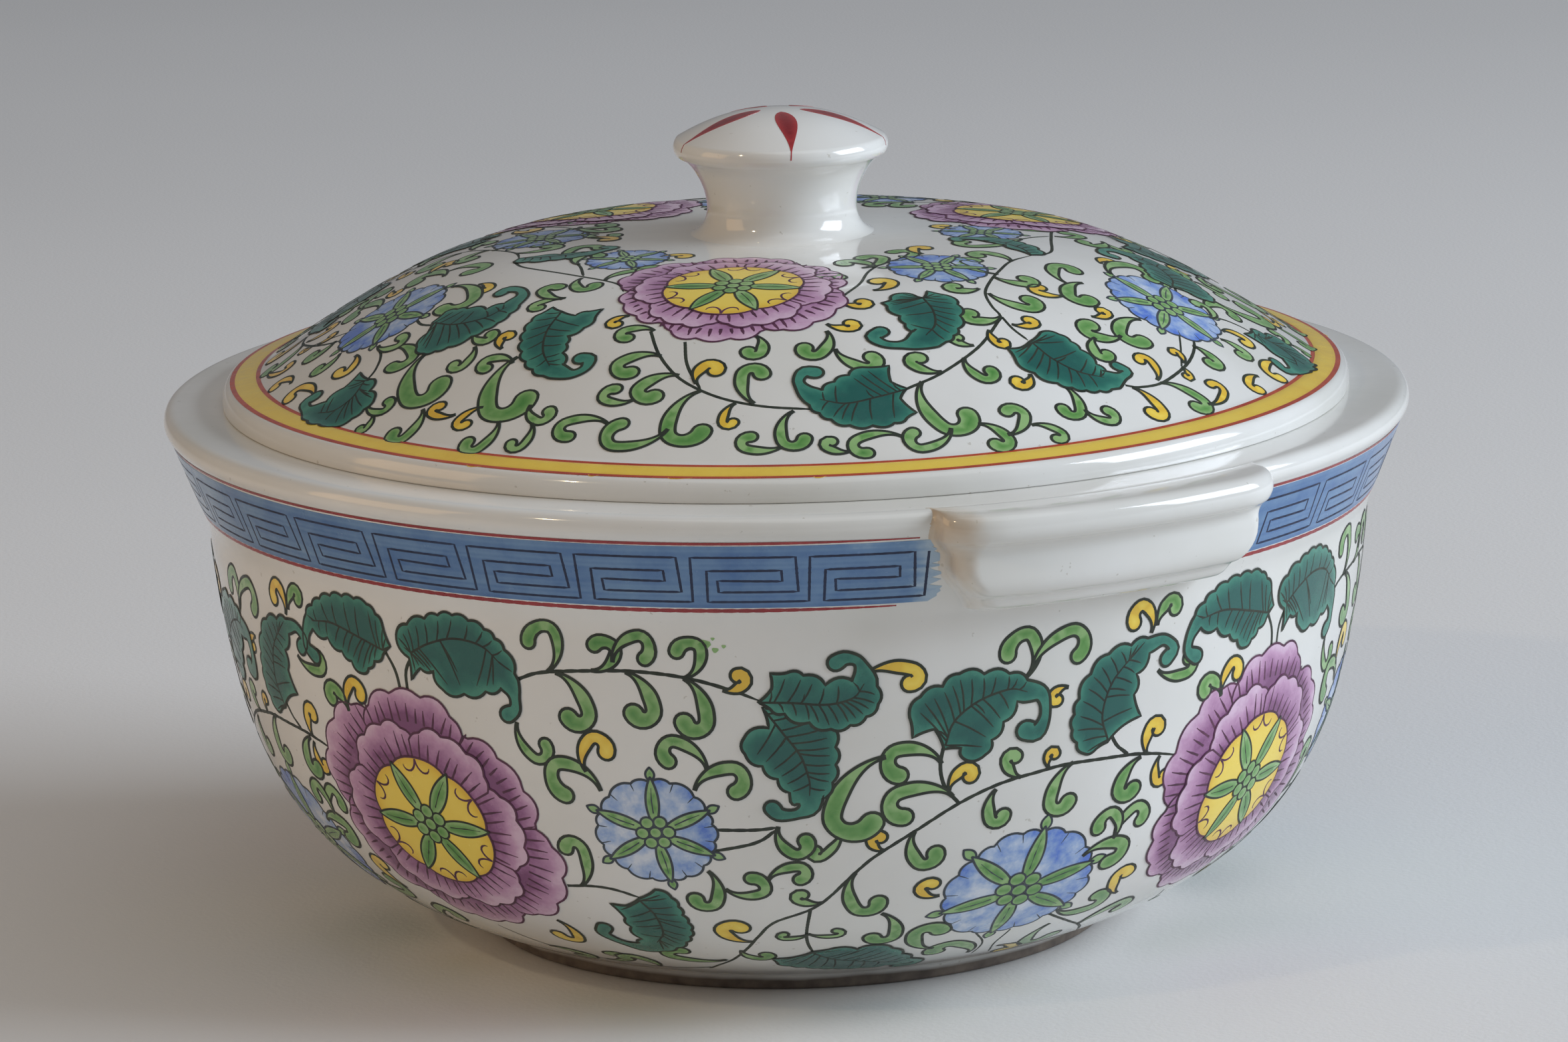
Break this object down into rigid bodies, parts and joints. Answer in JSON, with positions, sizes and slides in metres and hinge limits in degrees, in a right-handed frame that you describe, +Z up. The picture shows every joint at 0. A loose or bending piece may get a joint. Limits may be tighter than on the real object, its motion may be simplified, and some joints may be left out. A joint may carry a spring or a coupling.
{
  "type": "covered rice bowl",
  "caption": "Deep round porcelain serving bowl with side lug handles and a domed lift-off lid with a mushroom knob, for holding rice or soup.",
  "frame": {"origin": "on the ground, at the centre of the foot ring", "axes": "+Z up along the bowl's axis; the two lug handles stand on the X axis"},
  "size_m": [0.2552, 0.24, 0.1577],
  "materials": {
    "bowl_glaze": "gloss",
    "lid_glaze": "gloss"
  },
  "bodies": {
    "bowl": {"bowl_body": "bowl_glaze", "handle_right": "bowl_glaze", "handle_left": "bowl_glaze"},
    "lid": {"lid_shell": "lid_glaze", "lid_knob": "lid_glaze"}
  },
  "joints": [
    {"name": "lid_lift", "type": "slide", "parent": "bowl", "child": "lid", "axis": [0, 0, 1], "range_m": [0, 0.09]}
  ]
}
